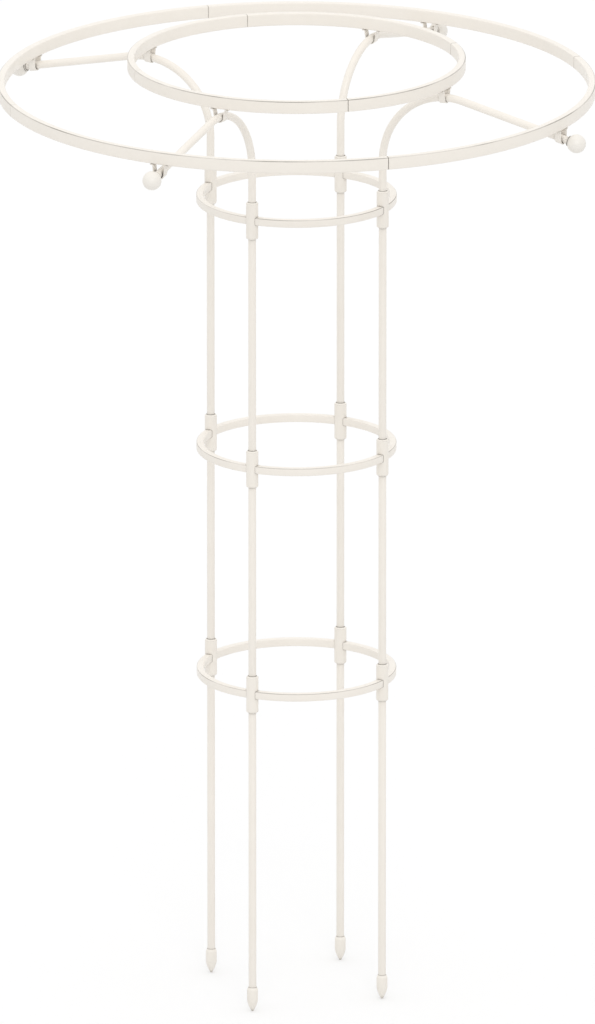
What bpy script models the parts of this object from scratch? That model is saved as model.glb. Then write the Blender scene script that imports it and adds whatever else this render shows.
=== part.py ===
"""Umbrella plant support: a knock-down steel frame for a weeping rose.

Four pointed feet carry four legs. Each leg is three straight tubes, joined by sleeves at three hoops.
Four bent arms plug into the top sleeves and hold two flat-sided rings, each made of four quarters.
The tubes stop on the hoops, so each tier lifts off the one below.
Lengths are in metres, +Z is up, and the origin is on the ground at the middle of the four legs.
"""

import math

import bmesh
import bpy
from mathutils import Vector

# Gaps between pieces
SEAT_GAP = 0.0003
PLUG_GAP = 0.0003

# The legs and their round tube
LEG_SIDES = {"right": 0.0, "back": 90.0, "left": 180.0, "front": 270.0}
LEG_CIRCLE_RADIUS = 0.162
TUBE_RADIUS = 0.0065
TUBE_WALL = 0.0013
TUBE_SIDES = 12
BORE_SIDES = 8

# Heights of the hoops' middles
BOTTOM_HOOP_HEIGHT = 0.557
MIDDLE_TIER_RISE = 0.394
UPPER_TIER_RISE = 0.432

# Hoops, square with round corners
HOOP_WIDTH = 0.012
HOOP_HEIGHT = 0.013
HOOP_CORNER = 0.0026
HOOP_CORNER_STEPS = 1
HOOP_STEPS = 36
HOOP_BUTT_GAP = 0.0006
HOOP_BUTT_SIDE = "back"

# Sleeves that join the tubes at a hoop
SLEEVE_RADIUS = 0.0102
SLEEVE_LENGTH = 0.064
SLEEVE_END_BEVEL = 0.0020

# Pointed feet
SPIKE_RADIUS = 0.0092
SPIKE_LENGTH = 0.042
SPIKE_POINT_LENGTH = 0.019
SPIKE_SHOULDER = 0.0042
SPIKE_TIP_RADIUS = 0.0014
SPIKE_SOCKET_DEPTH = 0.016
SPIKE_BELLY = 0.0011
SPIKE_RIM = 0.0006
SPIKE_POINT_STEPS = 3

# Bent arms
ARM_STRAIGHT_RISE = 0.0846
ARM_BEND_RADIUS = 0.124
ARM_FALL_DEGREES = 12.2
ARM_BEND_STEPS = 12

# Ball on the arm's tip, its centre past the middle of the outer ring
FINIAL_OVERHANG = 0.0295
FINIAL_RADIUS = 0.0160
FINIAL_NECK_RADIUS = 0.0090
FINIAL_NECK_LENGTH = 0.0022
FINIAL_MOUTH_RADIUS = 0.0083
FINIAL_MOUTH_DEPTH = 0.0024
FINIAL_FLOOR = 0.0030
FINIAL_SIDES = 12
FINIAL_STEPS = 8

# The two rings, of flat-sided tube
RING_WIDTH = 0.0122
RING_HEIGHT = 0.0213
RING_CORNER = 0.0038
RING_CORNER_STEPS = 2
RING_LEAST_CORNER = 0.0004
RING_WALL = 0.0013
INNER_RING_RADIUS = 0.277
INNER_RING_CLEARANCE = 0.0080
INNER_RING_STEPS = 8
OUTER_RING_RADIUS = 0.4945
OUTER_RING_CLEARANCE = 0.0082
OUTER_RING_STEPS = 11

# Joint between two quarters of a ring: the end of one is drawn down and plugs into the next
SEAM_WIDTH = 0.0013
SPIGOT_LENGTH = 0.020

# Strap clips under the rings
CLIP_WIDTH = 0.0120
CLIP_THICKNESS = 0.0018
CLIP_GAP = 0.0008
INNER_CLIP_SLACK = 0.0
OUTER_CLIP_SLACK = 0.0014
CLIP_FOOT_SPAN = 0.032
CLIP_FOOT_LENGTH = 0.0050
CLIP_BEND_STEPS = 8

# Faces that meet at less than this angle are shaded smooth
ROUND_TUBE_SMOOTH_DEGREES = 40
ROUND_CORNER_SMOOTH_DEGREES = 50

# Cream powder coat of each kind of piece: linear colour and roughness
FINISHES = {
    "tube": ((0.83, 0.77, 0.68), 0.42),
    "hoop": ((0.84, 0.78, 0.70), 0.40),
    "sleeve": ((0.80, 0.74, 0.65), 0.45),
    "foot": ((0.80, 0.74, 0.65), 0.46),
    "ring": ((0.84, 0.77, 0.69), 0.40),
    "clip": ((0.79, 0.73, 0.64), 0.46),
    "ball": ((0.78, 0.72, 0.64), 0.38),
}

# Places that follow from the sizes above
MIDDLE_HOOP_HEIGHT = BOTTOM_HOOP_HEIGHT + MIDDLE_TIER_RISE
TOP_HOOP_HEIGHT = MIDDLE_HOOP_HEIGHT + UPPER_TIER_RISE
TUBE_STOP = HOOP_HEIGHT / 2 + SEAT_GAP
BEND_START_HEIGHT = TOP_HOOP_HEIGHT + ARM_STRAIGHT_RISE
ARM_FALL = math.radians(ARM_FALL_DEGREES)
BORE_RADIUS = TUBE_RADIUS + PLUG_GAP
FINIAL_CIRCLE_RADIUS = OUTER_RING_RADIUS + FINIAL_OVERHANG


def clear_scene():
    for item in list(bpy.data.objects):
        bpy.data.objects.remove(item, do_unlink=True)


def finish(name):
    """The painted finish of one kind of piece, as a Principled BSDF material."""
    colour, roughness = FINISHES[name]
    material = bpy.data.materials.new(f"cream powder coat, {name}")
    material.use_nodes = True
    shader = material.node_tree.nodes["Principled BSDF"]
    shader.inputs["Base Color"].default_value = (*colour, 1.0)
    shader.inputs["Roughness"].default_value = roughness
    shader.inputs["Metallic"].default_value = 0.0
    material.diffuse_color = (*colour, 1.0)
    return material


def finished_mesh(bm, name, material, smooth_degrees):
    """Turns the faces outward, shades the round ones smooth and returns the mesh."""
    bmesh.ops.recalc_face_normals(bm, faces=bm.faces)
    mesh = bpy.data.meshes.new(name)
    bm.to_mesh(mesh)
    bm.free()
    mesh.shade_smooth()
    mesh.set_sharp_from_angle(angle=math.radians(smooth_degrees))
    mesh.materials.append(material)
    return mesh


def place(name, mesh, parent, location=(0.0, 0.0, 0.0), turn=(0.0, 0.0, 0.0)):
    """Puts one piece in the scene, at a place measured from the ground under the middle."""
    piece = bpy.data.objects.new(name, mesh)
    bpy.context.collection.objects.link(piece)
    piece.parent = parent
    piece.location = Vector(location) - parent.location
    piece.rotation_euler = turn
    return piece


def tier_empty(name, height):
    """An empty on the frame's axis, which carries the pieces that lift together."""
    empty = bpy.data.objects.new(name, None)
    empty.location = (0.0, 0.0, height)
    bpy.context.collection.objects.link(empty)
    return empty


def on_circle(side, radius, height):
    """A point on one side of the frame, at a distance from its axis."""
    angle = math.radians(LEG_SIDES[side])
    return (radius * math.cos(angle), radius * math.sin(angle), height)


def circle_points(radius, count):
    """Points round a circle, in the section's own two axes."""
    return [(radius * math.cos(2 * math.pi * i / count), radius * math.sin(2 * math.pi * i / count))
            for i in range(count)]


def rounded_rectangle(width, height, corner, steps):
    """Points round a rectangle whose corners are arcs of the given number of steps."""
    points = []
    centres = [(1, 1), (-1, 1), (-1, -1), (1, -1)]
    for quarter, (across, up) in enumerate(centres):
        for i in range(steps + 1):
            angle = math.radians(90 * quarter + 90 * i / steps)
            points.append((across * (width / 2 - corner) + corner * math.cos(angle),
                           up * (height / 2 - corner) + corner * math.sin(angle)))
    return points


def section_on_circle(section, radius, angle):
    """A section's points, stood across a circle of the given radius round Z."""
    return [((radius + across) * math.cos(angle), (radius + across) * math.sin(angle), up)
            for across, up in section]


def loft(bm, loops, closed=False):
    """Skins a row of closed loops with quads and returns the edges of the first and last loop.

    A closed loft joins its last loop to its first.
    """
    rows = [[bm.verts.new(point) for point in loop] for loop in loops]
    for row, following in zip(rows, rows[1:] + rows[:1] if closed else rows[1:]):
        for i in range(len(row)):
            j = (i + 1) % len(row)
            bm.faces.new((row[i], row[j], following[j], following[i]))
    ends = []
    for row in (rows[0], rows[-1]):
        ends.append([bm.edges.get((row[i], row[(i + 1) % len(row)])) for i in range(len(row))])
    return ends


def hollow_loft(outer_loops, inner_loops):
    """A tube wall between an outer and an inner skin, with flat end faces round the bore."""
    bm = bmesh.new()
    outer_ends = loft(bm, outer_loops)
    inner_ends = loft(bm, inner_loops)
    for outer_edges, inner_edges in zip(outer_ends, inner_ends):
        bmesh.ops.triangle_fill(bm, edges=outer_edges + inner_edges, use_beauty=True)
    return bm


def turned(profile, steps):
    """Revolves a profile of (radius, height) points round Z. Its ends lie on the axis or it is closed."""
    bm = bmesh.new()
    verts = [bm.verts.new((radius, 0.0, height)) for radius, height in profile]
    edges = [bm.edges.new(pair) for pair in zip(verts, verts[1:])]
    closed = min(profile[0][0], profile[-1][0]) > 0.0
    if closed:
        edges.append(bm.edges.new((verts[-1], verts[0])))
    bmesh.ops.spin(bm, geom=verts + edges, cent=(0, 0, 0), axis=(0, 0, 1),
                   angle=2 * math.pi, steps=steps, use_merge=True)
    bmesh.ops.remove_doubles(bm, verts=bm.verts, dist=0.000001)
    return bm


def straight_tube(length):
    """A round tube that stands on z = 0."""
    outer = circle_points(TUBE_RADIUS, TUBE_SIDES)
    inner = circle_points(TUBE_RADIUS - TUBE_WALL, BORE_SIDES)
    return hollow_loft([[(x, y, z) for x, y in outer] for z in (0.0, length)],
                       [[(x, y, z) for x, y in inner] for z in (0.0, length)])


def arm_height(reach):
    """Height of the arm's centre line at a distance outward from its leg."""
    bend_reach = ARM_BEND_RADIUS * (1 + math.sin(ARM_FALL))
    if reach <= bend_reach:
        return BEND_START_HEIGHT + math.sqrt(ARM_BEND_RADIUS ** 2 - (ARM_BEND_RADIUS - reach) ** 2)
    bend_end = BEND_START_HEIGHT + ARM_BEND_RADIUS * math.cos(ARM_FALL)
    return bend_end - (reach - bend_reach) * math.tan(ARM_FALL)


def arm_slope(reach):
    """Rise of the arm's centre line for each unit outward."""
    bend_reach = ARM_BEND_RADIUS * (1 + math.sin(ARM_FALL))
    if reach <= bend_reach:
        return (ARM_BEND_RADIUS - reach) / (arm_height(reach) - BEND_START_HEIGHT)
    return -math.tan(ARM_FALL)


def arm_stations():
    """(reach, height, lean) along the arm, where lean turns from upright to outward and down."""
    stations = [(0.0, TOP_HOOP_HEIGHT + TUBE_STOP, 0.0)]
    full_lean = math.pi / 2 + ARM_FALL
    for i in range(ARM_BEND_STEPS + 1):
        lean = full_lean * i / ARM_BEND_STEPS
        stations.append((ARM_BEND_RADIUS * (1 - math.cos(lean)),
                         BEND_START_HEIGHT + ARM_BEND_RADIUS * math.sin(lean), lean))
    tip_reach = FINIAL_CIRCLE_RADIUS - LEG_CIRCLE_RADIUS - (FINIAL_FLOOR + SEAT_GAP) * math.cos(ARM_FALL)
    stations.append((tip_reach, arm_height(tip_reach), full_lean))
    return stations


def arm_tube():
    """The bent arm, in the plane of local X and Z, with its leg at x = 0."""
    def loops(radius, count):
        return [[(reach + side * math.cos(lean), along, height - side * math.sin(lean) - TOP_HOOP_HEIGHT)
                 for side, along in circle_points(radius, count)]
                for reach, height, lean in arm_stations()]
    return hollow_loft(loops(TUBE_RADIUS, TUBE_SIDES), loops(TUBE_RADIUS - TUBE_WALL, BORE_SIDES))


def hoop_loops(growth):
    """Sections along a hoop through the axes of the legs, from one butt end round to the other."""
    section = rounded_rectangle(HOOP_WIDTH + 2 * growth, HOOP_HEIGHT + 2 * growth,
                                HOOP_CORNER + growth, HOOP_CORNER_STEPS)
    butt = math.radians(LEG_SIDES[HOOP_BUTT_SIDE])
    half_gap = HOOP_BUTT_GAP / 2 / LEG_CIRCLE_RADIUS
    angles = [butt + half_gap]
    angles += [butt + 2 * math.pi * i / HOOP_STEPS for i in range(1, HOOP_STEPS)]
    angles.append(butt + 2 * math.pi - half_gap)
    return [section_on_circle(section, LEG_CIRCLE_RADIUS, angle) for angle in angles]


def hoop():
    """A bar rolled into a hoop. It is threaded through the sleeves, and its ends meet inside one of them."""
    bm = bmesh.new()
    for end_edges in loft(bm, hoop_loops(0.0)):
        bmesh.ops.triangle_fill(bm, edges=end_edges, use_beauty=True)
    return bm


def hoop_clearance():
    """A closed hoop, larger all round by the seat gap, that cuts the sleeves' cross holes."""
    bm = bmesh.new()
    loft(bm, hoop_loops(SEAT_GAP), closed=True)
    return bm


def sleeve():
    """A sleeve with bevelled ends and a bore for the tubes, about its own middle."""
    half = SLEEVE_LENGTH / 2
    end = [(SLEEVE_RADIUS, half - SLEEVE_END_BEVEL),
           (SLEEVE_RADIUS - SLEEVE_END_BEVEL, half),
           (BORE_RADIUS, half)]
    return turned(end + [(radius, -height) for radius, height in reversed(end)], TUBE_SIDES)


def spike():
    """A pointed foot with a socket for the leg, its tip at z = 0."""
    point = []
    for i in range(SPIKE_POINT_STEPS + 1):
        share = i / SPIKE_POINT_STEPS
        radius = SPIKE_TIP_RADIUS + (SPIKE_RADIUS - SPIKE_TIP_RADIUS) * share
        point.append((radius + SPIKE_BELLY * math.sin(math.pi * share), SPIKE_POINT_LENGTH * share))
    socket_floor = SPIKE_LENGTH - SPIKE_SOCKET_DEPTH
    top = [(SPIKE_RADIUS, SPIKE_LENGTH - SPIKE_SHOULDER),
           (BORE_RADIUS + SPIKE_RIM, SPIKE_LENGTH),
           (BORE_RADIUS, SPIKE_LENGTH),
           (BORE_RADIUS, socket_floor),
           (0.0, socket_floor)]
    return turned([(0.0, 0.0)] + point + top, TUBE_SIDES)


def finial():
    """A ball with a short neck and a socket for the arm, about its own centre, with +Z outward."""
    neck_angle = math.pi - math.asin(FINIAL_NECK_RADIUS / FINIAL_RADIUS)
    ball = []
    for i in range(FINIAL_STEPS + 1):
        angle = neck_angle * i / FINIAL_STEPS
        ball.append((FINIAL_RADIUS * math.sin(angle), FINIAL_RADIUS * math.cos(angle)))
    mouth = ball[-1][1] - FINIAL_NECK_LENGTH
    socket = [(FINIAL_NECK_RADIUS, mouth),
              (FINIAL_MOUTH_RADIUS, mouth),
              (BORE_RADIUS, mouth + FINIAL_MOUTH_DEPTH),
              (BORE_RADIUS, -FINIAL_FLOOR),
              (0.0, -FINIAL_FLOOR)]
    return turned(ball + socket, FINIAL_SIDES)


def ring_height(radius, clearance):
    """Height of a ring's middle, which clears the arms by the given amount."""
    reach = radius - LEG_CIRCLE_RADIUS
    arm_top = arm_height(reach) + TUBE_RADIUS / math.cos(math.atan(arm_slope(reach)))
    return arm_top + clearance + RING_HEIGHT / 2


def ring_corner(cut):
    """The corner radius left on the ring's section when it is cut back all round."""
    return max(RING_CORNER - cut, RING_LEAST_CORNER)


def ring_outside(cut):
    """The outline of the ring's section, cut back all round."""
    return rounded_rectangle(RING_WIDTH - 2 * cut, RING_HEIGHT - 2 * cut,
                             ring_corner(cut), RING_CORNER_STEPS)


def ring_bore(cut):
    """The outline of the ring's bore. Each corner is one flat that touches the arc it stands for."""
    flat_corner = ring_corner(cut) * (2 - math.sqrt(2))
    return rounded_rectangle(RING_WIDTH - 2 * cut, RING_HEIGHT - 2 * cut, flat_corner, 1)


def ring_arc(radius, steps):
    """A quarter of a ring, centred on local X, with its drawn-down spigot at the far end.

    The first stretch is as long as a spigot, so the last quarter's spigot lies along it.
    """
    start = -math.pi / 4
    past_spigot = start + SPIGOT_LENGTH / radius
    shoulder = math.pi / 4 - SEAM_WIDTH / radius
    spigot_inset = RING_WALL + PLUG_GAP
    stations = [(start, 0.0)]
    for i in range(steps + 1):
        stations.append((past_spigot + (shoulder - past_spigot) * i / steps, 0.0))
    stations.append((math.pi / 4, spigot_inset))
    stations.append((math.pi / 4 + SPIGOT_LENGTH / radius, spigot_inset))
    skin = [section_on_circle(ring_outside(inset), radius, angle) for angle, inset in stations]
    bore = [section_on_circle(ring_bore(RING_WALL + inset), radius, angle) for angle, inset in stations]
    return hollow_loft(skin, bore)


def clip(reach, foot_height, slack):
    """A strap bent under the arm, its two feet flat below the ring, about the arm's centre line.

    Slack is the play that the strap leaves on each side of the arm, past the usual gap. The strap's sheet
    is solidified about its middle, so the bend is measured there. Its lower part follows the arm's slope,
    where a plumb section of the tube is a tall ellipse, and its feet stay level.
    """
    slope = arm_slope(reach)
    bend_radius = TUBE_RADIUS + CLIP_GAP + slack + CLIP_THICKNESS / 2
    bend_depth = TUBE_RADIUS * math.sqrt(1 + slope ** 2) + CLIP_GAP + CLIP_THICKNESS / 2
    sheet_top = foot_height - SEAT_GAP - CLIP_THICKNESS / 2
    foot_end = CLIP_FOOT_SPAN / 2
    half = [(foot_end, sheet_top), (foot_end - CLIP_FOOT_LENGTH, sheet_top)]
    for i in range(CLIP_BEND_STEPS // 2 + 1):
        angle = -math.pi / 2 * i / (CLIP_BEND_STEPS / 2)
        half.append((bend_radius * math.cos(angle), bend_depth * math.sin(angle)))
    path = half + [(-across, up) for across, up in reversed(half[:-1])]
    bm = bmesh.new()
    rows = []
    for outward in (-CLIP_WIDTH / 2, CLIP_WIDTH / 2):
        rows.append([bm.verts.new((outward, across,
                                   up + slope * outward * (1 - min(max(up / sheet_top, 0.0), 1.0))))
                     for across, up in path])
    for i in range(len(path) - 1):
        bm.faces.new((rows[0][i], rows[0][i + 1], rows[1][i + 1], rows[1][i]))
    return bm


def thicken(piece):
    """Gives a strap its thickness, half on each side of the sheet."""
    solid = piece.modifiers.new("thickness", 'SOLIDIFY')
    solid.thickness = CLIP_THICKNESS
    solid.offset = 0.0
    solid.use_even_offset = True


def cut_by(piece, cutter):
    """Cuts a piece with a hidden cutter."""
    cut = piece.modifiers.new("cross hole", 'BOOLEAN')
    cut.operation = 'DIFFERENCE'
    cut.solver = 'EXACT'
    cut.object = cutter


def build_legs(name, bottom, top, parent, tube_finish):
    """One straight tube for each leg."""
    mesh = finished_mesh(straight_tube(top - bottom), name, tube_finish, ROUND_TUBE_SMOOTH_DEGREES)
    for side, degrees in LEG_SIDES.items():
        place(f"{name}_{side}", mesh, parent, on_circle(side, LEG_CIRCLE_RADIUS, bottom),
              (0, 0, math.radians(degrees)))


def build_hoop(tier, height, parent, hoop_finish, sleeve_finish):
    """A hoop, and the four sleeves that it runs through."""
    name = f"hoop_{tier}"
    hoop_mesh = finished_mesh(hoop(), name, hoop_finish, ROUND_CORNER_SMOOTH_DEGREES)
    place(name, hoop_mesh, parent, (0, 0, height))
    cutter_mesh = finished_mesh(hoop_clearance(), f"{name}_clearance", hoop_finish,
                                ROUND_CORNER_SMOOTH_DEGREES)
    cutter = place(f"{name}_clearance", cutter_mesh, parent, (0, 0, height))
    cutter.hide_render = True
    cutter.display_type = 'WIRE'
    mesh = finished_mesh(sleeve(), f"sleeve_{tier}", sleeve_finish, ROUND_TUBE_SMOOTH_DEGREES)
    for side, degrees in LEG_SIDES.items():
        piece = place(f"sleeve_{tier}_{side}", mesh, parent, on_circle(side, LEG_CIRCLE_RADIUS, height),
                      (0, 0, math.radians(degrees)))
        cut_by(piece, cutter)


def build_feet(parent, foot_finish):
    """One pointed foot under each leg."""
    mesh = finished_mesh(spike(), "spike", foot_finish, ROUND_TUBE_SMOOTH_DEGREES)
    for side, degrees in LEG_SIDES.items():
        place(f"spike_{side}", mesh, parent, on_circle(side, LEG_CIRCLE_RADIUS, 0.0),
              (0, 0, math.radians(degrees)))


def build_arms(parent, tube_finish, ball_finish):
    """The four arms and the balls on their tips."""
    arm_mesh = finished_mesh(arm_tube(), "arm", tube_finish, ROUND_TUBE_SMOOTH_DEGREES)
    ball_mesh = finished_mesh(finial(), "finial", ball_finish, ROUND_TUBE_SMOOTH_DEGREES)
    ball_height = arm_height(FINIAL_CIRCLE_RADIUS - LEG_CIRCLE_RADIUS)
    for side, degrees in LEG_SIDES.items():
        turn = math.radians(degrees)
        place(f"arm_{side}", arm_mesh, parent, on_circle(side, LEG_CIRCLE_RADIUS, TOP_HOOP_HEIGHT),
              (0, 0, turn))
        place(f"finial_{side}", ball_mesh, parent, on_circle(side, FINIAL_CIRCLE_RADIUS, ball_height),
              (0, math.pi / 2 + ARM_FALL, turn))


def build_ring(name, radius, clearance, steps, slack, parent, ring_finish, clip_finish):
    """A ring of four quarters, with a clip under the middle of each quarter."""
    height = ring_height(radius, clearance)
    reach = radius - LEG_CIRCLE_RADIUS
    arm_centre = arm_height(reach)
    arc_mesh = finished_mesh(ring_arc(radius, steps), f"{name}_ring_arc", ring_finish,
                             ROUND_CORNER_SMOOTH_DEGREES)
    clip_mesh = finished_mesh(clip(reach, height - RING_HEIGHT / 2 - arm_centre, slack), f"{name}_clip",
                              clip_finish, ROUND_TUBE_SMOOTH_DEGREES)
    for side, degrees in LEG_SIDES.items():
        turn = math.radians(degrees)
        place(f"{name}_ring_arc_{side}", arc_mesh, parent, (0, 0, height), (0, 0, turn))
        strap = place(f"{name}_clip_{side}", clip_mesh, parent, on_circle(side, radius, arm_centre),
                      (0, 0, turn))
        thicken(strap)


def build():
    clear_scene()
    paint = {name: finish(name) for name in FINISHES}
    ground_tier = tier_empty("ground_tier", 0.0)
    middle_tier = tier_empty("middle_tier", BOTTOM_HOOP_HEIGHT)
    upper_tier = tier_empty("upper_tier", MIDDLE_HOOP_HEIGHT)
    umbrella_head = tier_empty("umbrella_head", TOP_HOOP_HEIGHT)

    foot_seat = SPIKE_LENGTH - SPIKE_SOCKET_DEPTH + SEAT_GAP
    build_feet(ground_tier, paint["foot"])
    build_legs("lower_leg", foot_seat, BOTTOM_HOOP_HEIGHT - TUBE_STOP, ground_tier, paint["tube"])
    build_hoop("bottom", BOTTOM_HOOP_HEIGHT, ground_tier, paint["hoop"], paint["sleeve"])

    build_legs("middle_leg", BOTTOM_HOOP_HEIGHT + TUBE_STOP, MIDDLE_HOOP_HEIGHT - TUBE_STOP,
               middle_tier, paint["tube"])
    build_hoop("middle", MIDDLE_HOOP_HEIGHT, middle_tier, paint["hoop"], paint["sleeve"])

    build_legs("upper_leg", MIDDLE_HOOP_HEIGHT + TUBE_STOP, TOP_HOOP_HEIGHT - TUBE_STOP,
               upper_tier, paint["tube"])
    build_hoop("top", TOP_HOOP_HEIGHT, upper_tier, paint["hoop"], paint["sleeve"])

    build_arms(umbrella_head, paint["tube"], paint["ball"])
    build_ring("inner", INNER_RING_RADIUS, INNER_RING_CLEARANCE, INNER_RING_STEPS, INNER_CLIP_SLACK,
               umbrella_head, paint["ring"], paint["clip"])
    build_ring("outer", OUTER_RING_RADIUS, OUTER_RING_CLEARANCE, OUTER_RING_STEPS, OUTER_CLIP_SLACK,
               umbrella_head, paint["ring"], paint["clip"])


build()
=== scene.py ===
"""The looks of the umbrella plant support: its pieces in full detail, their cream powder coat and the studio.

Each kind of piece is modelled once, on the +X side of the frame, and copied to the other sides and tiers.
Lengths are in metres, +Z is up, and the origin is on the ground at the middle of the four legs.
"""

import math

import bmesh
import bpy
from mathutils import Matrix, Vector


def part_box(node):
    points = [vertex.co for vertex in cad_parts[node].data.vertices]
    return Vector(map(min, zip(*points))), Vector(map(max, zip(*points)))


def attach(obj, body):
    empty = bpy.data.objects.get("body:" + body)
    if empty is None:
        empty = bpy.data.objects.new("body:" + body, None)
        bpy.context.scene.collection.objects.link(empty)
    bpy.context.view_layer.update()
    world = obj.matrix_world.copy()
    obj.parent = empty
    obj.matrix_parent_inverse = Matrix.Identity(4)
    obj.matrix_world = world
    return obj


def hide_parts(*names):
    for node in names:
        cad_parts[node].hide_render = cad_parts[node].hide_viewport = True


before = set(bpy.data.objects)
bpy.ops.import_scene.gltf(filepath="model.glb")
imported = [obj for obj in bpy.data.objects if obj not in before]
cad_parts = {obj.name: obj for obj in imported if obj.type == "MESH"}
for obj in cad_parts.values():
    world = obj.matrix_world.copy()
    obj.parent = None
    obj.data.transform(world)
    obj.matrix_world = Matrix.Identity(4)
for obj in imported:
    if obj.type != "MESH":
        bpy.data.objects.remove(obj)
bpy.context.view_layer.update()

ORIGIN = (0.0, 0.0, 0.0)
UP = (0.0, 0.0, 1.0)
WHITE = (1.0, 1.0, 1.0, 1.0)

# The photograph's view, with its angles in degrees
VIEW_AZIMUTH = 27.2
VIEW_ELEVATION = 16.45
VIEW_DISTANCE = 47.0
VIEW_DEPTH = 100.0
VIEW_CENTRE_HEIGHT = 0.8329
VIEW_CENTRE_RIGHT = 0.00168
HEIGHT_SEEN = 1.7203
SENSOR_MM = 36.0

# Studio light, with its angles in degrees, and the floor
HORIZON_LIGHT = 0.80
OVERHEAD_LIGHT = 1.55
KEY_LIGHT_AZIMUTH = VIEW_AZIMUTH + 4.0
KEY_LIGHT_ELEVATION = 32.0
KEY_LIGHT_STRENGTH = 0.42
KEY_LIGHT_SOFTNESS = 30.0
FLOOR_SIZE = 60.0
FLOOR_SHADE = 0.80
FLOOR_LIFT = 0.125
FLOOR_ROUGHNESS = 0.9

# Where the four legs stand, in degrees round the frame from +X
LEG_SIDES = {"right": 0.0, "back": 90.0, "left": 180.0, "front": 270.0}
LEG_CIRCLE_RADIUS = 0.162

# Round tube of the legs and the arms, and the bore that it plugs into
TUBE_RADIUS = 0.0065
TUBE_WALL = 0.0013
TUBE_SIDES = 40
TUBE_END_ROUND = 0.00025
TUBE_END_STEPS = 2
PLUG_GAP = 0.0003
SEAT_GAP = 0.0003
BORE_RADIUS = TUBE_RADIUS + PLUG_GAP

# Hoops
HOOP_WIDTH = 0.012
HOOP_HEIGHT = 0.013
HOOP_CORNER = 0.0016
HOOP_CORNER_STEPS = 5
HOOP_STEPS = 144
HOOP_BUTT_GAP = 0.0006

# Sleeves
SLEEVE_RADIUS = 0.0102
SLEEVE_LENGTH = 0.064
SLEEVE_CHAMFER = 0.0022
SLEEVE_COUNTERSINK = 0.0004
SLEEVE_SIDES = 64

# Pointed feet. Each rounding lists a change of radius and a height above the shoulder or above the top.
SPIKE_RADIUS = 0.0092
SPIKE_LENGTH = 0.042
SPIKE_POINT_LENGTH = 0.019
SPIKE_POINT_STEPS = 7
SPIKE_BELLY = 0.0011
SPIKE_TIP_RADIUS = 0.0014
SPIKE_SHOULDER = 0.0042
SPIKE_SHOULDER_ROUND = ((0.0, -0.0008), (-0.0001, 0.0), (-0.0005, 0.0009))
SPIKE_RIM = 0.0006
SPIKE_RIM_ROUND = ((0.0002, -0.0004), (-0.0001, 0.0))
SPIKE_SOCKET_DEPTH = 0.016
SPIKE_SIDES = 48

# Arms
ARM_BEND_RADIUS = 0.124
ARM_BEND_STEPS = 60
ARM_FALL = math.radians(12.2)
ARM_TURN = math.pi / 2 + ARM_FALL
ARM_BEND_REACH = ARM_BEND_RADIUS * (1 + math.sin(ARM_FALL))

# Balls on the arms' tips
BALL_CIRCLE_RADIUS = 0.524
BALL_RADIUS = 0.0159
BALL_SIDES = 48
BALL_RINGS = 32
BALL_NECK_RADIUS = 0.0090
BALL_NECK_LENGTH = 0.0022
BALL_NECK_EASE = 0.0002
BALL_GROOVE_RADIUS = 0.0076
BALL_GROOVE_WIDTH = 0.0012
BALL_MOUTH_RADIUS = 0.0075
BALL_MOUTH_DEPTH = 0.0010
BALL_MOUTH_EASE = 0.0003
BALL_SOCKET_FLOOR = 0.0030

# Rings of flat-sided tube. The clip slack is the extra room beside the arm in the ring's clips.
RINGS = {"inner": {"radius": 0.277, "quarter steps": 40, "clip slack": 0.0},
         "outer": {"radius": 0.4945, "quarter steps": 64, "clip slack": 0.0014}}
RING_WIDTH = 0.0122
RING_HEIGHT = 0.021298
RING_CORNER = 0.0022
RING_CORNER_STEPS = 7
RING_WALL = 0.0013
SEAM_WIDTH = 0.0013
SPIGOT_LENGTH = 0.020
SPIGOT_STEPS = 4

# Strap clips under the rings. Edges that turn by more than the edge angle, in degrees, are rounded off.
CLIP_WIDTH = 0.0120
CLIP_THICKNESS = 0.0018
CLIP_GAP = 0.0008
CLIP_FOOT_SPAN = 0.032
CLIP_FOOT_LENGTH = 0.0050
CLIP_BEND_STEPS = 20
CLIP_KNEE_ROUND = 0.0016
CLIP_KNEE_STEPS = 4
CLIP_EDGE_ROUND = 0.0003
CLIP_EDGE_STEPS = 2
CLIP_EDGE_ANGLE = 50

# How near a point counts as on a plane, on a round surface, at a middle, or the same as another point
NEAR_PLANE = 0.00002
NEAR_ROUND = 0.0002
NEAR_MIDDLE = 0.0005
SAME_POINT = 0.000002
FACING = 0.99

# Faces that meet at less than these angles, in degrees, are shaded as one round surface
SMOOTH_BAR = 30
SMOOTH_TURNED = 35
SMOOTH_TUBE = 40

# Powder grain: how broken up its noises are, which part of their values counts, and what they do to the coat
FINE_RIPPLES = 3200.0
FINE_DETAIL = 1.0
RIPPLE_DETAIL = 2.0
RIPPLE_SHARE = 0.8
PATCH_DETAIL = 3.0
PATCH_RAGGEDNESS = 0.55
NOISE_LOW = 0.3
NOISE_HIGH = 0.7
THIN_PATCH_LOW = 0.35
THIN_PATCH_HIGH = 0.75
THIN_IN_PATCHES = 0.34
THIN_IN_RIPPLES = 0.12
SHINIER_IN_PATCHES = 0.05
DULLER_IN_PATCHES = 0.06
UNEVEN_IN_RIPPLES = 0.02

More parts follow.
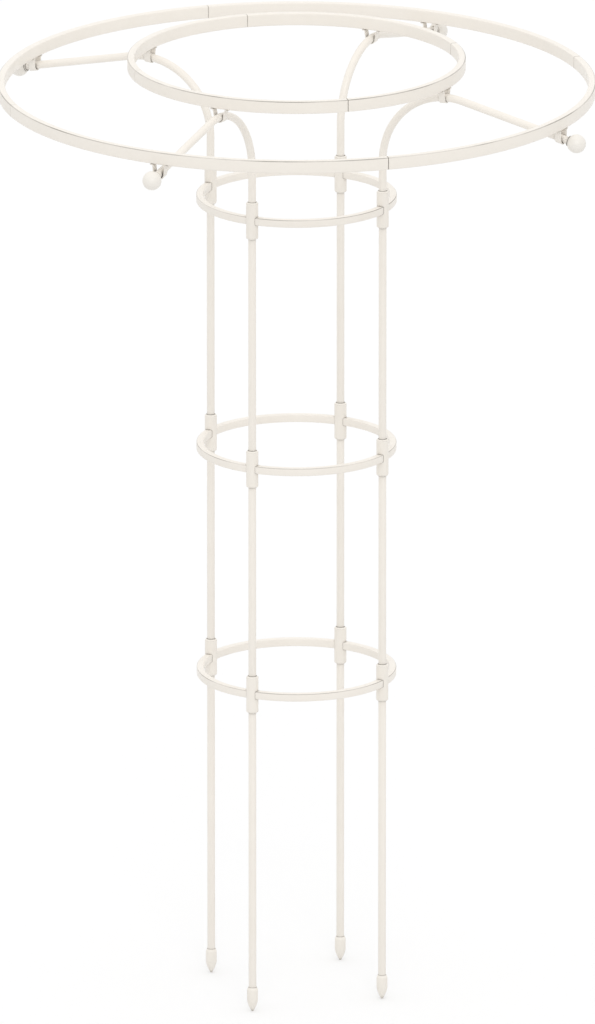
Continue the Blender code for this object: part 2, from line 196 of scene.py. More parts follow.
# Worn edges, a dark line along the upper outer ridges, and painted shade in the gaps, which are also made
# rougher
# The colour of worn edges and of the dark line along the upper outer ridges
EDGE_AND_RIDGE_COLOR = (0.38, 0.355, 0.315, 1.0)
EDGE_SAMPLES = 6
EDGE_REACH = 0.0009
EDGE_FULL = 0.89
RIDGE_START = 0.20
RIDGE_FULL = 0.42
# How the dark ridge line is broken up along its length
RIDGE_BREAK_PATCHES = 9.0
RIDGE_BREAK_DETAIL = 3.0
RIDGE_BREAK_LOW = 0.38
RIDGE_BREAK_HIGH = 0.60
RIDGE_LEAST_SHARE = 0.35
# Painted shade in narrow gaps: its dark colour, and the roughness added there
GAP_SHADE_COLOR = (0.15, 0.13, 0.11, 1.0)
GAP_ROUGHNESS = 0.3
GAP_SAMPLES = 6
GAP_REACH = 0.0065
GAP_OPEN = 0.86
GAP_CLOSED = 0.28

# Each finish: its colour where thick and thin, its roughness, its ripples and patches to the metre, the depth
# of its ripple, and how strongly worn edges, the dark ridge line and the painted shade in gaps show
FINISHES = {
    "tube": {"coat": (0.888, 0.842, 0.775), "thin": (0.845, 0.790, 0.712),
             "roughness": 0.36, "ripples": 850.0, "patches": 24.0, "depth": 0.000080,
             "edges": 0.30, "ridges": 0.0, "gaps": 0.85},
    "hoop": {"coat": (0.886, 0.840, 0.773), "thin": (0.845, 0.790, 0.712),
             "roughness": 0.35, "ripples": 780.0, "patches": 20.0, "depth": 0.000080,
             "edges": 0.30, "ridges": 0.85, "gaps": 0.55},
    "sleeve": {"coat": (0.882, 0.837, 0.770), "thin": (0.838, 0.784, 0.706),
               "roughness": 0.38, "ripples": 900.0, "patches": 34.0, "depth": 0.000090,
               "edges": 0.85, "ridges": 0.0, "gaps": 0.70},
    "foot": {"coat": (0.876, 0.834, 0.768), "thin": (0.828, 0.775, 0.698),
             "roughness": 0.40, "ripples": 900.0, "patches": 40.0, "depth": 0.000090,
             "edges": 0.40, "ridges": 0.0, "gaps": 0.40},
    "ring": {"coat": (0.888, 0.842, 0.775), "thin": (0.845, 0.792, 0.715),
             "roughness": 0.34, "ripples": 700.0, "patches": 16.0, "depth": 0.000085,
             "edges": 0.30, "ridges": 0.95, "gaps": 0.55},
    "clip": {"coat": (0.874, 0.832, 0.770), "thin": (0.828, 0.776, 0.702),
             "roughness": 0.38, "ripples": 950.0, "patches": 60.0, "depth": 0.000085,
             "edges": 0.45, "ridges": 0.0, "gaps": 0.35},
    "ball": {"coat": (0.868, 0.834, 0.778), "thin": (0.832, 0.788, 0.718),
             "roughness": 0.30, "ripples": 800.0, "patches": 45.0, "depth": 0.000070,
             "edges": 0.30, "ridges": 0.0, "gaps": 0.85},
}


# Modelling by hand: every shape starts from a primitive and is worked in edit mode


def start_from(primitive, **size_and_place):
    """Adds a primitive with nothing else selected, moves its place into its mesh and opens it for editing."""
    bpy.ops.object.select_all(action='DESELECT')
    primitive(**size_and_place)
    bpy.ops.object.transform_apply(location=True, rotation=True, scale=True)
    bpy.ops.object.mode_set(mode='EDIT')
    return bpy.context.object


def pick(kind, wanted):
    """Selects only the points, edges or faces that pass a test of where they are and which way they face."""
    bpy.ops.mesh.select_all(action='DESELECT')
    bpy.ops.mesh.select_mode(type=kind)
    mesh = bmesh.from_edit_mesh(bpy.context.object.data)
    for item in {'VERT': mesh.verts, 'EDGE': mesh.edges, 'FACE': mesh.faces}[kind]:
        if kind == 'VERT' and wanted(item.co):
            item.select_set(True)
        elif kind == 'EDGE' and wanted(item.verts[0].co, item.verts[1].co):
            item.select_set(True)
        elif kind == 'FACE' and wanted(item.calc_center_median(), item.normal):
            item.select_set(True)
    mesh.select_flush_mode()
    bmesh.update_edit_mesh(bpy.context.object.data)


def pull(x, y, z):
    """Extrudes what is selected by a distance."""
    bpy.ops.mesh.extrude_region_move(TRANSFORM_OT_translate={"value": (x, y, z)})


def widen(about, x, y, z):
    """Scales what is selected about a point."""
    bpy.ops.transform.resize(value=(x, y, z), center_override=about)


def follow_profile(axis_x, radius, height, profile):
    """Carries a selected round of edges on through each radius and height of a profile, as on a lathe."""
    for next_radius, next_height in profile:
        pull(0.0, 0.0, next_height - height)
        widen((axis_x, 0.0, next_height), next_radius / radius, next_radius / radius, 1.0)
        radius, height = next_radius, next_height


def sweep_round_frame(steps, angle):
    """Spins what is selected about the frame's middle. A positive angle runs clockwise, seen from above."""
    bpy.ops.mesh.spin(steps=steps, angle=angle, use_auto_merge=False, center=ORIGIN, axis=UP)


def leave_edit(smooth_degrees):
    """Merges doubled points, turns all faces outward, leaves edit mode and shades the round faces smooth."""
    bpy.ops.mesh.select_mode(type='FACE')
    bpy.ops.mesh.select_all(action='SELECT')
    bpy.ops.mesh.remove_doubles(threshold=SAME_POINT)
    bpy.ops.mesh.normals_make_consistent(inside=False)
    bpy.ops.object.mode_set(mode='OBJECT')
    bpy.ops.object.shade_smooth_by_angle(angle=math.radians(smooth_degrees))
    return bpy.context.object


def level(z):
    """A test for edges and points that lie at a height."""
    return lambda *points: all(abs(point.z - z) < NEAR_PLANE for point in points)


def distance_from_leg(point):
    """Distance of a point from the axis of the leg on the +X side."""
    return math.hypot(point.x - LEG_CIRCLE_RADIUS, point.y)


def tube_end(height):
    """Starts a tube on the +X leg with the edges of its cut end, and leaves them selected."""
    start_from(bpy.ops.mesh.primitive_circle_add, vertices=TUBE_SIDES, radius=TUBE_RADIUS, fill_type='NGON',
               location=(LEG_CIRCLE_RADIUS, 0.0, height))
    bpy.ops.mesh.inset(thickness=TUBE_WALL)
    bpy.ops.mesh.delete(type='FACE')
    bpy.ops.mesh.select_all(action='SELECT')


def leg_tube(bottom, top):
    """A straight tube on the +X leg, its cut ends just rounded off."""
    tube_end(bottom)
    pull(0.0, 0.0, top - bottom)
    pick('EDGE', lambda start, end: (level(bottom)(start, end) or level(top)(start, end))
         and min(distance_from_leg(start), distance_from_leg(end)) > TUBE_RADIUS - NEAR_ROUND)
    bpy.ops.mesh.bevel(offset=TUBE_END_ROUND, segments=TUBE_END_STEPS, affect='EDGES')
    return leave_edit(SMOOTH_TUBE)


def arm_tube(bottom, bend_start, tip_reach):
    """The bent arm on the +X side: up from its sleeve, over, and down to its tip."""
    tube_end(bottom)
    pull(0.0, 0.0, bend_start - bottom)
    bpy.ops.mesh.spin(steps=ARM_BEND_STEPS, angle=-ARM_TURN, axis=(0.0, 1.0, 0.0),
                      center=(LEG_CIRCLE_RADIUS + ARM_BEND_RADIUS, 0.0, bend_start))
    fall = tip_reach - ARM_BEND_REACH
    pull(fall, 0.0, -fall * math.tan(ARM_FALL))
    return leave_edit(SMOOTH_TUBE)


def upright_section(place, width, height, corner, corner_steps):
    """The section of a flat-sided bar or tube across the +X axis, its corners rounded, left selected."""
    start_from(bpy.ops.mesh.primitive_plane_add, size=width, location=place, rotation=(math.pi / 2, 0.0, 0.0))
    widen(place, 1.0, 1.0, height / width)
    bpy.ops.mesh.bevel(offset=corner, segments=corner_steps, affect='VERTICES')
    bpy.ops.mesh.select_all(action='SELECT')


def hoop_bar(growth, closed):
    """The bar of a hoop at height 0. Growth makes it larger all round, and a closed one has no butt."""
    place = Vector((LEG_CIRCLE_RADIUS, 0.0, 0.0))
    upright_section(place, HOOP_WIDTH + 2 * growth, HOOP_HEIGHT + 2 * growth,
                    HOOP_CORNER + growth, HOOP_CORNER_STEPS)
    butt = 0.0 if closed else HOOP_BUTT_GAP / LEG_CIRCLE_RADIUS
    sweep_round_frame(HOOP_STEPS, 2 * math.pi - butt)
    if closed:
        bpy.ops.mesh.select_all(action='SELECT')
        bpy.ops.mesh.remove_doubles(threshold=SAME_POINT)
        pick('FACE', lambda middle, normal: abs(normal.y) > FACING and (middle - place).length < NEAR_MIDDLE)
        bpy.ops.mesh.delete(type='FACE')
    return leave_edit(SMOOTH_BAR)


def bored_sleeve():
    """A sleeve about the height 0 of the +X leg, bored through, its ends chamfered and its mouths eased."""
    sleeve = start_from(bpy.ops.mesh.primitive_cylinder_add, vertices=SLEEVE_SIDES, radius=SLEEVE_RADIUS,
                        depth=SLEEVE_LENGTH, location=(LEG_CIRCLE_RADIUS, 0.0, 0.0))
    at_top, at_bottom = level(SLEEVE_LENGTH / 2), level(-SLEEVE_LENGTH / 2)
    pick('FACE', lambda middle, normal: abs(normal.z) > FACING)
    bpy.ops.mesh.inset(thickness=SLEEVE_RADIUS - BORE_RADIUS)
    bpy.ops.mesh.bridge_edge_loops()
    pick('EDGE', lambda start, end: (at_top(start, end) or at_bottom(start, end))
         and min(distance_from_leg(start), distance_from_leg(end)) > SLEEVE_RADIUS - NEAR_ROUND)
    bpy.ops.mesh.bevel(offset=SLEEVE_CHAMFER, segments=1, affect='EDGES')
    pick('EDGE', lambda start, end: (at_top(start, end) or at_bottom(start, end))
         and max(distance_from_leg(start), distance_from_leg(end)) < BORE_RADIUS + NEAR_ROUND)
    bpy.ops.mesh.bevel(offset=SLEEVE_COUNTERSINK, segments=1, affect='EDGES')
    leave_edit(SMOOTH_TUBE)
    return sleeve


def sleeve_shape():
    """A bored sleeve with the cross hole that its hoop runs through."""
    sleeve = bored_sleeve()
    cutter = hoop_bar(SEAT_GAP, closed=True)
    bpy.ops.object.select_all(action='DESELECT')
    sleeve.select_set(True)
    bpy.context.view_layer.objects.active = sleeve
    hole = sleeve.modifiers.new("cross hole", 'BOOLEAN')
    hole.operation = 'DIFFERENCE'
    hole.solver = 'EXACT'
    hole.object = cutter
    bpy.ops.object.modifier_apply(modifier=hole.name)
    bpy.ops.object.shade_smooth_by_angle(angle=math.radians(SMOOTH_BAR))
    bpy.data.objects.remove(cutter)
    return sleeve


def spike_shape():
    """A pointed foot under the +X leg, turned from the tip up, with a socket for the leg."""
    start_from(bpy.ops.mesh.primitive_circle_add, vertices=SPIKE_SIDES, radius=SPIKE_TIP_RADIUS,
               fill_type='NGON', location=(LEG_CIRCLE_RADIUS, 0.0, 0.0))
    profile = []
    for step in range(1, SPIKE_POINT_STEPS + 1):
        share = step / SPIKE_POINT_STEPS
        radius = SPIKE_TIP_RADIUS + (SPIKE_RADIUS - SPIKE_TIP_RADIUS) * share
        profile.append((radius + SPIKE_BELLY * math.sin(math.pi * share), SPIKE_POINT_LENGTH * share))
    for change, height in SPIKE_SHOULDER_ROUND:
        profile.append((SPIKE_RADIUS + change, SPIKE_LENGTH - SPIKE_SHOULDER + height))
    for change, height in SPIKE_RIM_ROUND:
        profile.append((BORE_RADIUS + SPIKE_RIM + change, SPIKE_LENGTH + height))
    profile.append((BORE_RADIUS, SPIKE_LENGTH))
    profile.append((BORE_RADIUS, SPIKE_LENGTH - SPIKE_SOCKET_DEPTH))
    follow_profile(LEG_CIRCLE_RADIUS, SPIKE_TIP_RADIUS, 0.0, profile)
    return leave_edit(SMOOTH_TURNED)


def ball_shape(centre_height):
    """A ball on the tip of the +X arm, with a short neck and a socket, modelled upright and laid over."""
    start_from(bpy.ops.mesh.primitive_uv_sphere_add, segments=BALL_SIDES, ring_count=BALL_RINGS,
               radius=BALL_RADIUS, location=ORIGIN)
    neck = -math.sqrt(BALL_RADIUS ** 2 - BALL_NECK_RADIUS ** 2)
    groove_end = neck - BALL_GROOVE_WIDTH
    mouth = neck - BALL_NECK_LENGTH
    profile = [(BALL_GROOVE_RADIUS, neck),
               (BALL_GROOVE_RADIUS, groove_end),
               (BALL_NECK_RADIUS - BALL_NECK_EASE, groove_end),
               (BALL_NECK_RADIUS, groove_end - BALL_NECK_EASE),
               (BALL_NECK_RADIUS, mouth + BALL_MOUTH_EASE),
               (BALL_NECK_RADIUS - BALL_MOUTH_EASE, mouth),
               (BALL_MOUTH_RADIUS, mouth),
               (BORE_RADIUS, mouth + BALL_MOUTH_DEPTH),
               (BORE_RADIUS, -BALL_SOCKET_FLOOR)]
    bpy.ops.mesh.bisect(plane_co=(0.0, 0.0, neck), plane_no=UP, clear_inner=True)
    pick('EDGE', level(neck))
    follow_profile(0.0, BALL_NECK_RADIUS, neck, profile)
    bpy.ops.mesh.edge_face_add()
    ball = leave_edit(SMOOTH_TURNED)
    laid_over = Matrix.Rotation(ARM_TURN, 4, 'Y')
    ball.data.transform(Matrix.Translation((BALL_CIRCLE_RADIUS, 0.0, centre_height)) @ laid_over)
    return ball


def ring_quarter(radius, height, steps):
    """A quarter of a ring. Its shoulder is at +X, its body runs back from there and its spigot goes on."""
    upright_section((radius, 0.0, height), RING_WIDTH, RING_HEIGHT, RING_CORNER, RING_CORNER_STEPS)
    bpy.ops.mesh.inset(thickness=RING_WALL)
    bpy.ops.mesh.delete(type='FACE')
    bpy.ops.mesh.select_all(action='SELECT')
    sweep_round_frame(steps, math.pi / 2 - SEAM_WIDTH / radius)
    pick('FACE', lambda middle, normal: abs(middle.y) < NEAR_PLANE and middle.x > 0.0)
    inset = RING_WALL + PLUG_GAP
    pull(0.0, SEAM_WIDTH, 0.0)
    widen((radius, SEAM_WIDTH, height), 1 - 2 * inset / RING_WIDTH, 1.0, 1 - 2 * inset / RING_HEIGHT)
    sweep_round_frame(SPIGOT_STEPS, -SPIGOT_LENGTH / radius)
    return leave_edit(SMOOTH_TUBE)


def clip_sheet(middle, sheet_height, arm_centre, bend_radius, bend_depth, lean):
    """A clip as a thin sheet: foot, drop, half round under the arm, rise and foot, with its knees rounded."""
    foot_end = CLIP_FOOT_SPAN / 2
    knee = foot_end - CLIP_FOOT_LENGTH
    sheet = start_from(bpy.ops.mesh.primitive_plane_add, size=CLIP_WIDTH,
                       location=(middle, 0.0, sheet_height))
    widen((middle, 0.0, sheet_height), 1.0, CLIP_FOOT_LENGTH / CLIP_WIDTH, 1.0)
    bpy.ops.transform.translate(value=(0.0, foot_end - CLIP_FOOT_LENGTH / 2, 0.0))
    pick('EDGE', lambda start, end: max(start.y, end.y) < foot_end - CLIP_FOOT_LENGTH / 2)
    pull(0.0, bend_radius - knee, arm_centre - sheet_height)
    bpy.ops.mesh.spin(steps=CLIP_BEND_STEPS, angle=math.pi, axis=(1.0, 0.0, 0.0),
                      center=(middle, 0.0, arm_centre))
    pull(0.0, bend_radius - knee, sheet_height - arm_centre)
    pull(0.0, -CLIP_FOOT_LENGTH, 0.0)
    pick('VERT', lambda point: point.z < arm_centre - NEAR_PLANE)
    widen((middle, 0.0, arm_centre), 1.0, 1.0, bend_depth / bend_radius)
    pick('VERT', lambda point: point.z < arm_centre + NEAR_PLANE and point.x > middle)
    bpy.ops.transform.translate(value=(0.0, 0.0, lean))
    pick('VERT', lambda point: point.z < arm_centre + NEAR_PLANE and point.x < middle)
    bpy.ops.transform.translate(value=(0.0, 0.0, -lean))
    pick('EDGE', lambda start, end: level(sheet_height)(start, end)
         and abs(abs(start.y) - knee) < NEAR_PLANE and abs(start.y - end.y) < NEAR_PLANE)
    bpy.ops.mesh.bevel(offset=CLIP_KNEE_ROUND, segments=CLIP_KNEE_STEPS, affect='EDGES')
    leave_edit(CLIP_EDGE_ANGLE)
    return sheet


def strap_clip(reach, arm_centre, slope, slack, foot_top):
    """A strap bent under the +X arm, its feet flat below the ring and its bend along the slope of the arm."""
    bend_radius = TUBE_RADIUS + CLIP_GAP + slack + CLIP_THICKNESS / 2
    bend_depth = TUBE_RADIUS * math.sqrt(1 + slope ** 2) + CLIP_GAP + CLIP_THICKNESS / 2
    strap = clip_sheet(LEG_CIRCLE_RADIUS + reach, foot_top - CLIP_THICKNESS / 2, arm_centre,
                       bend_radius, bend_depth, slope * CLIP_WIDTH / 2)
    wall = strap.modifiers.new("sheet", 'SOLIDIFY')
    wall.thickness = CLIP_THICKNESS
    wall.offset = 0.0
    wall.use_even_offset = True
    bpy.ops.object.modifier_apply(modifier=wall.name)
    edge = strap.modifiers.new("sheared edge", 'BEVEL')
    edge.width = CLIP_EDGE_ROUND
    edge.segments = CLIP_EDGE_STEPS
    edge.limit_method = 'ANGLE'
    edge.angle_limit = math.radians(CLIP_EDGE_ANGLE)
    bpy.ops.object.modifier_apply(modifier=edge.name)
    bpy.ops.object.shade_smooth_by_angle(angle=math.radians(SMOOTH_TUBE))
    return strap


# Shader nodes, and how their sockets are fed


def feed(tree, socket, value):
    """Sets a socket to a plain value, or links it to what another node puts out."""
    if isinstance(value, bpy.types.NodeSocket):
        tree.links.new(value, socket)
    else:
        socket.default_value = value


def feed_named(tree, node, values):
    """Feeds a node's sockets by their names."""
    for title, value in values.items():
        feed(tree, node.inputs[title], value)


def feed_in_order(tree, node, values):
    """Feeds a node's sockets in their order."""
    for socket, value in zip(node.inputs, values):
        feed(tree, socket, value)


def maths(tree, operation, *values):
    """A number worked out from other numbers."""
    node = tree.nodes.new("ShaderNodeMath")
    node.operation = operation
    feed_in_order(tree, node, values)
    return node.outputs["Value"]


def vector_maths(tree, operation, *values):
    """What a Vector Math node puts out: a vector, and a value from a dot product."""
    node = tree.nodes.new("ShaderNodeVectorMath")
    node.operation = operation
    feed_in_order(tree, node, values)
    return node.outputs


def remapped(tree, value, low, high, to_low=0.0, to_high=1.0):
    """A value carried from one range to another, and held within it."""
    node = tree.nodes.new("ShaderNodeMapRange")
    feed_named(tree, node, {"Value": value, "From Min": low, "From Max": high,
                            "To Min": to_low, "To Max": to_high})
    return node.outputs["Result"]


def noise(tree, place, cells_per_metre, detail, raggedness=0.5):
    """A cloudy pattern that keeps its place on the piece."""
    node = tree.nodes.new("ShaderNodeTexNoise")
    feed_named(tree, node, {"Vector": place, "Scale": cells_per_metre,
                            "Detail": detail, "Roughness": raggedness})
    return node.outputs["Fac"]


def blended(tree, amount, first, second):
    """The first colour covered by the second, by an amount."""
    node = tree.nodes.new("ShaderNodeMix")
    node.data_type = 'RGBA'
    feed_named(tree, node, {"Factor": amount, "A": first, "B": second})
    return node.outputs["Result"]


def height_part(tree, vector):
    """The upward part of a vector."""
    node = tree.nodes.new("ShaderNodeSeparateXYZ")
    feed(tree, node.inputs["Vector"], vector)
    return node.outputs["Z"]


def placed_group(tree, group, values):
    """A shader group in a material, with the values that this material gives it."""
    node = tree.nodes.new("ShaderNodeGroup")
    node.node_tree = group
    feed_named(tree, node, values)
    return node.outputs


def new_group(name, inputs, outputs):
    """A new shader group with its sockets, what comes in through them, and where its results go out."""
    group = bpy.data.node_groups.new(name, 'ShaderNodeTree')
    for title, kind in inputs.items():
        group.interface.new_socket(name=title, in_out='INPUT', socket_type=f"NodeSocket{kind}")
    for title, kind in outputs.items():
        group.interface.new_socket(name=title, in_out='OUTPUT', socket_type=f"NodeSocket{kind}")
    return group, group.nodes.new("NodeGroupInput").outputs, group.nodes.new("NodeGroupOutput")


# Finishes


def powder_grain():
    """Shader group: the skin of sprayed and baked powder, with fine ripple, thin spots and dull patches."""
    tree, given, results = new_group(
        "powder grain",
        {"Coat": 'Color', "Thin Coat": 'Color', "Roughness": 'Float', "Ripples": 'Float', "Patches": 'Float'},
        {"Color": 'Color', "Roughness": 'Float', "Height": 'Float'})
    place = tree.nodes.new("ShaderNodeTexCoord").outputs["Object"]
    patches = noise(tree, place, given["Patches"], PATCH_DETAIL, PATCH_RAGGEDNESS)
    ripple = noise(tree, place, given["Ripples"], RIPPLE_DETAIL)
    fine = noise(tree, place, FINE_RIPPLES, FINE_DETAIL)
    thin = maths(tree, 'ADD',
                 remapped(tree, patches, THIN_PATCH_LOW, THIN_PATCH_HIGH, 0.0, THIN_IN_PATCHES),
                 remapped(tree, ripple, NOISE_LOW, NOISE_HIGH, 0.0, THIN_IN_RIPPLES))
    dull = maths(tree, 'ADD',
                 remapped(tree, patches, NOISE_LOW, NOISE_HIGH, -SHINIER_IN_PATCHES, DULLER_IN_PATCHES),
                 remapped(tree, ripple, NOISE_LOW, NOISE_HIGH, -UNEVEN_IN_RIPPLES, UNEVEN_IN_RIPPLES))
    height = maths(tree, 'ADD',
                   maths(tree, 'MULTIPLY', ripple, RIPPLE_SHARE),
                   maths(tree, 'MULTIPLY', fine, 1 - RIPPLE_SHARE))
    feed_named(tree, results, {"Color": blended(tree, thin, given["Coat"], given["Thin Coat"]),
                               "Roughness": maths(tree, 'ADD', given["Roughness"], dull),
                               "Height": height})
    return tree


def sharp_edge(tree, normal):
    """1 on a sharp edge, falling to 0 a little way from it."""
    bevel = tree.nodes.new("ShaderNodeBevel")
    bevel.samples = EDGE_SAMPLES
    bevel.inputs["Radius"].default_value = EDGE_REACH
    same = vector_maths(tree, 'DOT_PRODUCT', bevel.outputs["Normal"], normal)["Value"]
    return remapped(tree, same, 1.0, EDGE_FULL)


def outer_ridge(tree, normal):
    """1 along the upper outer corner of a ring or a hoop, where a dark line is laid, and less in places."""
    place = tree.nodes.new("ShaderNodeTexCoord").outputs["Object"]
    level_place = vector_maths(tree, 'MULTIPLY', place, (1.0, 1.0, 0.0))["Vector"]
    outward = vector_maths(tree, 'NORMALIZE', level_place)["Vector"]
    facing_out = vector_maths(tree, 'DOT_PRODUCT', outward, normal)["Value"]
    corner = maths(tree, 'MINIMUM', facing_out, height_part(tree, normal))
    ridge = remapped(tree, corner, RIDGE_START, RIDGE_FULL)
    ridge_breaks = noise(tree, place, RIDGE_BREAK_PATCHES, RIDGE_BREAK_DETAIL)
    return maths(tree, 'MULTIPLY', ridge, remapped(tree, ridge_breaks, RIDGE_BREAK_LOW, RIDGE_BREAK_HIGH, RIDGE_LEAST_SHARE))


def narrow_gap(tree):
    """1 deep in a narrow gap, and 0 on an open surface: the mask of the painted shade in gaps."""
    gap = tree.nodes.new("ShaderNodeAmbientOcclusion")
    gap.samples = GAP_SAMPLES
    gap.inputs["Distance"].default_value = GAP_REACH
    return remapped(tree, gap.outputs["AO"], GAP_OPEN, GAP_CLOSED)


def eased_edges_and_gap_shade():
    """Shader group: coat worn thin on sharp edges, a dark line on upper outer ridges, and painted shade and
    more roughness in gaps.
    """
    tree, given, results = new_group(
        "eased edges and gap shade",
        {"Color": 'Color', "Roughness": 'Float', "Edge Color": 'Color', "Gap Shade Color": 'Color',
         "Edge Amount": 'Float', "Ridge Amount": 'Float', "Gap Amount": 'Float'},
        {"Color": 'Color', "Roughness": 'Float'})
    normal = tree.nodes.new("ShaderNodeNewGeometry").outputs["Normal"]
    # Worn sharp edges, and the dark line along the upper outer ridges
    edge_and_ridge_marks = maths(tree, 'MAXIMUM',
                   maths(tree, 'MULTIPLY', sharp_edge(tree, normal), given["Edge Amount"]),
                   maths(tree, 'MULTIPLY', outer_ridge(tree, normal), given["Ridge Amount"]))
    # Painted shade: deep in narrow gaps the colour is darkened towards the gap colour
    gap_shade = maths(tree, 'MULTIPLY', narrow_gap(tree), given["Gap Amount"])
    unshaded = blended(tree, edge_and_ridge_marks, given["Color"], given["Edge Color"])
    gap_roughness = maths(tree, 'MULTIPLY_ADD', gap_shade, GAP_ROUGHNESS, given["Roughness"])
    feed_named(tree, results, {"Color": blended(tree, gap_shade, unshaded, given["Gap Shade Color"]),
                               "Roughness": gap_roughness})
    return tree


def coated(name, grain, edges):
    """The cream powder coat of one kind of piece."""
    finish = FINISHES[name]
    coat = (*finish["coat"], 1.0)
    material = bpy.data.materials.new(f"cream powder coat on {name}")
    material.use_nodes = True
    material.diffuse_color = coat
    tree = material.node_tree
    skin = placed_group(tree, grain, {"Coat": coat, "Thin Coat": (*finish["thin"], 1.0),
                                      "Roughness": finish["roughness"], "Ripples": finish["ripples"],
                                      "Patches": finish["patches"]})
    # The gap colour is painted shade, laid deep in narrow gaps
    eased = placed_group(tree, edges, {"Color": skin["Color"], "Roughness": skin["Roughness"],
                                       "Edge Color": EDGE_AND_RIDGE_COLOR, "Gap Shade Color": GAP_SHADE_COLOR,
                                       "Edge Amount": finish["edges"], "Ridge Amount": finish["ridges"],
                                       "Gap Amount": finish["gaps"]})
    bump = tree.nodes.new("ShaderNodeBump")
    feed_named(tree, bump, {"Distance": finish["depth"], "Height": skin["Height"]})
    shader = tree.nodes["Principled BSDF"]
    feed_named(tree, shader, {"Base Color": eased["Color"], "Roughness": eased["Roughness"],
                              "Normal": bump.outputs["Normal"]})
    return material


# Camera, light and floor


def direction_to(azimuth, elevation):
    """The direction from the frame to an azimuth and an elevation in degrees, where azimuth 0 is in front."""
    around, up = math.radians(azimuth), math.radians(elevation)
    return Vector((math.sin(around) * math.cos(up), -math.cos(around) * math.cos(up), math.sin(up)))


def add_camera():
    """The camera at the photograph's viewing angle, far off and with a long lens."""
    back = direction_to(VIEW_AZIMUTH, VIEW_ELEVATION)
    right = Vector((math.cos(math.radians(VIEW_AZIMUTH)), math.sin(math.radians(VIEW_AZIMUTH)), 0.0))
    target = Vector((0.0, 0.0, VIEW_CENTRE_HEIGHT)) + right * VIEW_CENTRE_RIGHT
    data = bpy.data.cameras.new("camera")
    data.sensor_width = SENSOR_MM
    data.lens = SENSOR_MM * VIEW_DISTANCE / HEIGHT_SEEN
    data.clip_end = VIEW_DEPTH
    camera = bpy.data.objects.new("camera", data)
    bpy.context.scene.collection.objects.link(camera)
    camera.location = target + back * VIEW_DISTANCE
    camera.rotation_euler = back.to_track_quat('Z', 'Y').to_euler()
    bpy.context.scene.camera = camera


def add_key_light():
    """A broad soft light from the side of the camera, the same everywhere on the floor."""
    data = bpy.data.lights.new("soft key", 'SUN')
    data.energy = KEY_LIGHT_STRENGTH
    data.angle = math.radians(KEY_LIGHT_SOFTNESS)
    light = bpy.data.objects.new("soft key", data)
    bpy.context.scene.collection.objects.link(light)
    back = direction_to(KEY_LIGHT_AZIMUTH, KEY_LIGHT_ELEVATION)
    light.rotation_euler = back.to_track_quat('Z', 'Y').to_euler()


def seen_directly(tree):
    """1 where the camera, a reflection or glass sees the surface, and 0 where it only gives light."""
    path = tree.nodes.new("ShaderNodeLightPath").outputs
    reflected_or_through_glass = maths(tree, 'MAXIMUM', path["Is Glossy Ray"], path["Is Transmission Ray"])
    return maths(tree, 'MAXIMUM', path["Is Camera Ray"], reflected_or_through_glass)


def add_studio():
    """A white studio for the eye, and a soft light that is stronger overhead for the surfaces."""
    world = bpy.data.worlds.new("studio")
    bpy.context.scene.world = world
    world.use_nodes = True
    tree = world.node_tree
    tree.nodes.clear()
    white = tree.nodes.new("ShaderNodeBackground")
    white.inputs["Color"].default_value = WHITE
    soft = tree.nodes.new("ShaderNodeBackground")
    sky_height = height_part(tree, tree.nodes.new("ShaderNodeTexCoord").outputs["Generated"])
    feed(tree, soft.inputs["Strength"], remapped(tree, sky_height, 0.0, 1.0, HORIZON_LIGHT, OVERHEAD_LIGHT))
    mix = tree.nodes.new("ShaderNodeMixShader")
    feed_in_order(tree, mix, (seen_directly(tree), soft.outputs["Background"], white.outputs["Background"]))
    output = tree.nodes.new("ShaderNodeOutputWorld")
    feed(tree, output.inputs["Surface"], mix.outputs["Shader"])


def pale_floor():
    """The floor's material. Its lift makes it white for the eye without lighting the frame from below."""
    material = bpy.data.materials.new("pale floor")
    material.use_nodes = True
    tree = material.node_tree
    lift = maths(tree, 'MULTIPLY', seen_directly(tree), FLOOR_LIFT)
    feed_named(tree, tree.nodes["Principled BSDF"],
               {"Base Color": (FLOOR_SHADE, FLOOR_SHADE, FLOOR_SHADE, 1.0), "Roughness": FLOOR_ROUGHNESS,
                "Specular IOR Level": 0.0, "Emission Color": WHITE, "Emission Strength": lift})
    return material


def add_floor():
    """A plain floor under the frame."""
    bpy.ops.object.select_all(action='DESELECT')
    bpy.ops.mesh.primitive_plane_add(size=FLOOR_SIZE, location=ORIGIN)
    floor = bpy.context.object
    floor.name = "floor"
    floor.data.materials.append(pale_floor())


# Putting the pieces on the frame


def top_height(node):
    """The height of the top of a node's box."""
    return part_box(node)[1].z


def middle_height(node):
    """The height of the middle of a node's box."""
    low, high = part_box(node)
    return (low.z + high.z) / 2


def put(shape, node, body, slot, turn=0.0, rise=0.0):
    """A copy of a shape, turned round the frame and lifted, in the place of one node of the frame."""
    piece = shape.copy()
    piece.data = shape.data.copy()
    piece.name = f"{node}_coated"
    piece.data.name = piece.name
    piece.data.transform(Matrix.Translation((0.0, 0.0, rise)) @ Matrix.Rotation(turn, 4, 'Z'))
    piece.data.materials.clear()
    piece.data.materials.append(finishes[slot])
    bpy.context.scene.collection.objects.link(piece)
    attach(piece, body)
    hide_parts(node)


def put_on_sides(shape, node, body, slot, turn=0.0, rise=0.0):
    """A copy of a shape on each of the four sides, all turned on and lifted by the same amount."""
    for side, degrees in LEG_SIDES.items():
        put(shape, f"{node}_{side}", body, slot, math.radians(degrees) + turn, rise)


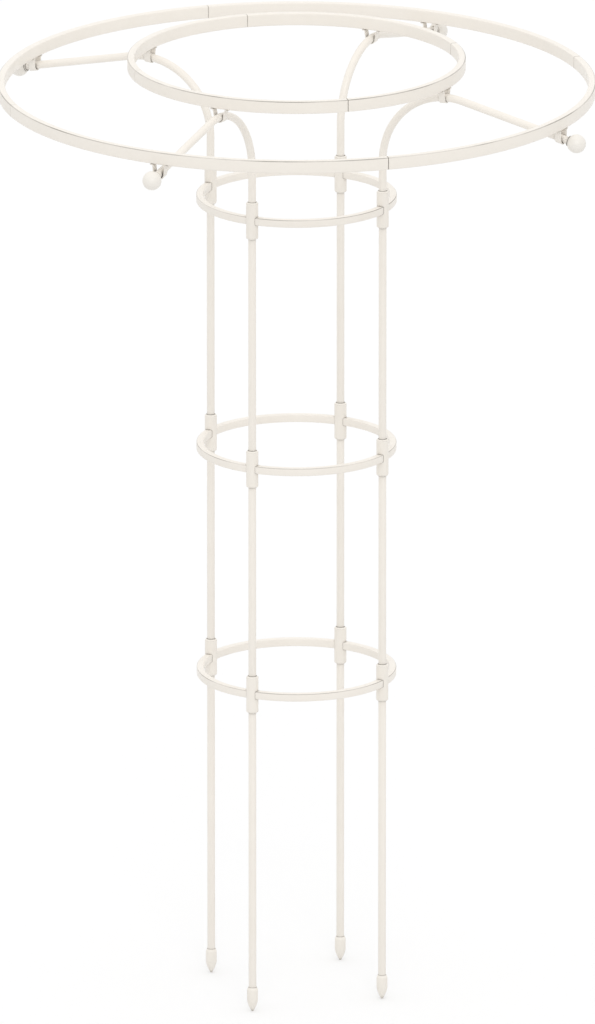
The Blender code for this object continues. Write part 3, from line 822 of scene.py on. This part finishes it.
def arm_at(reach, bend_start):
    """Height and slope of the arm's centre line at a distance outward from its leg."""
    if reach <= ARM_BEND_REACH:
        rise = math.sqrt(ARM_BEND_RADIUS ** 2 - (ARM_BEND_RADIUS - reach) ** 2)
        return bend_start + rise, (ARM_BEND_RADIUS - reach) / rise
    bend_end = bend_start + ARM_BEND_RADIUS * math.cos(ARM_FALL)
    return bend_end - (reach - ARM_BEND_REACH) * math.tan(ARM_FALL), -math.tan(ARM_FALL)


def add_feet():
    """The four pointed feet."""
    foot = spike_shape()
    put_on_sides(foot, "spike", "ground_tier", "foot")
    bpy.data.objects.remove(foot)


def add_legs():
    """The straight tubes of the three tiers."""
    bodies = {"lower_leg": "ground_tier", "middle_leg": "middle_tier", "upper_leg": "upper_tier"}
    for node, body in bodies.items():
        low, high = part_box(f"{node}_right")
        tube = leg_tube(low.z, high.z)
        put_on_sides(tube, node, body, "tube")
        bpy.data.objects.remove(tube)


def add_hoops():
    """The three hoops, each with its butt hidden in the back sleeve, and the four sleeves on each of them."""
    hoop = hoop_bar(0.0, closed=False)
    sleeve = sleeve_shape()
    butt_turn = math.radians(LEG_SIDES["back"]) - HOOP_BUTT_GAP / 2 / LEG_CIRCLE_RADIUS
    bodies = {"bottom": "ground_tier", "middle": "middle_tier", "top": "upper_tier"}
    for tier, body in bodies.items():
        height = middle_height(f"hoop_{tier}")
        put(hoop, f"hoop_{tier}", body, "hoop", butt_turn, height)
        put_on_sides(sleeve, f"sleeve_{tier}", body, "sleeve", rise=height)
    bpy.data.objects.remove(hoop)
    bpy.data.objects.remove(sleeve)


def add_arms(bottom, bend_start):
    """The four bent arms and the balls on their tips."""
    ball_reach = BALL_CIRCLE_RADIUS - LEG_CIRCLE_RADIUS
    arm = arm_tube(bottom, bend_start, ball_reach - (BALL_SOCKET_FLOOR + SEAT_GAP) * math.cos(ARM_FALL))
    put_on_sides(arm, "arm", "umbrella_head", "tube")
    bpy.data.objects.remove(arm)
    ball = ball_shape(arm_at(ball_reach, bend_start)[0])
    put_on_sides(ball, "finial", "umbrella_head", "ball")
    bpy.data.objects.remove(ball)


def add_rings(bend_start):
    """The quarters of both rings, and the clips that hold the rings to the arms."""
    for name, ring in RINGS.items():
        radius = ring["radius"]
        quarter = ring_quarter(radius, middle_height(f"{name}_ring_arc_right"), ring["quarter steps"])
        put_on_sides(quarter, f"{name}_ring_arc", "umbrella_head", "ring",
                     turn=math.pi / 4 - SEAM_WIDTH / radius)
        bpy.data.objects.remove(quarter)
        reach = radius - LEG_CIRCLE_RADIUS
        arm_centre, slope = arm_at(reach, bend_start)
        strap = strap_clip(reach, arm_centre, slope, ring["clip slack"], top_height(f"{name}_clip_right"))
        put_on_sides(strap, f"{name}_clip", "umbrella_head", "clip")
        bpy.data.objects.remove(strap)


# The scene, made in order: studio, finishes, then the pieces from the ground up

bpy.context.scene.view_settings.view_transform = 'Standard'
add_camera()
add_studio()
add_key_light()
add_floor()

grain, edges = powder_grain(), eased_edges_and_gap_shade()
finishes = {name: coated(name, grain, edges) for name in FINISHES}

add_feet()
add_legs()
add_hoops()
arm_low, arm_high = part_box("arm_right")
arm_bend_start = arm_high.z - TUBE_RADIUS - ARM_BEND_RADIUS
add_arms(arm_low.z, arm_bend_start)
add_rings(arm_bend_start)
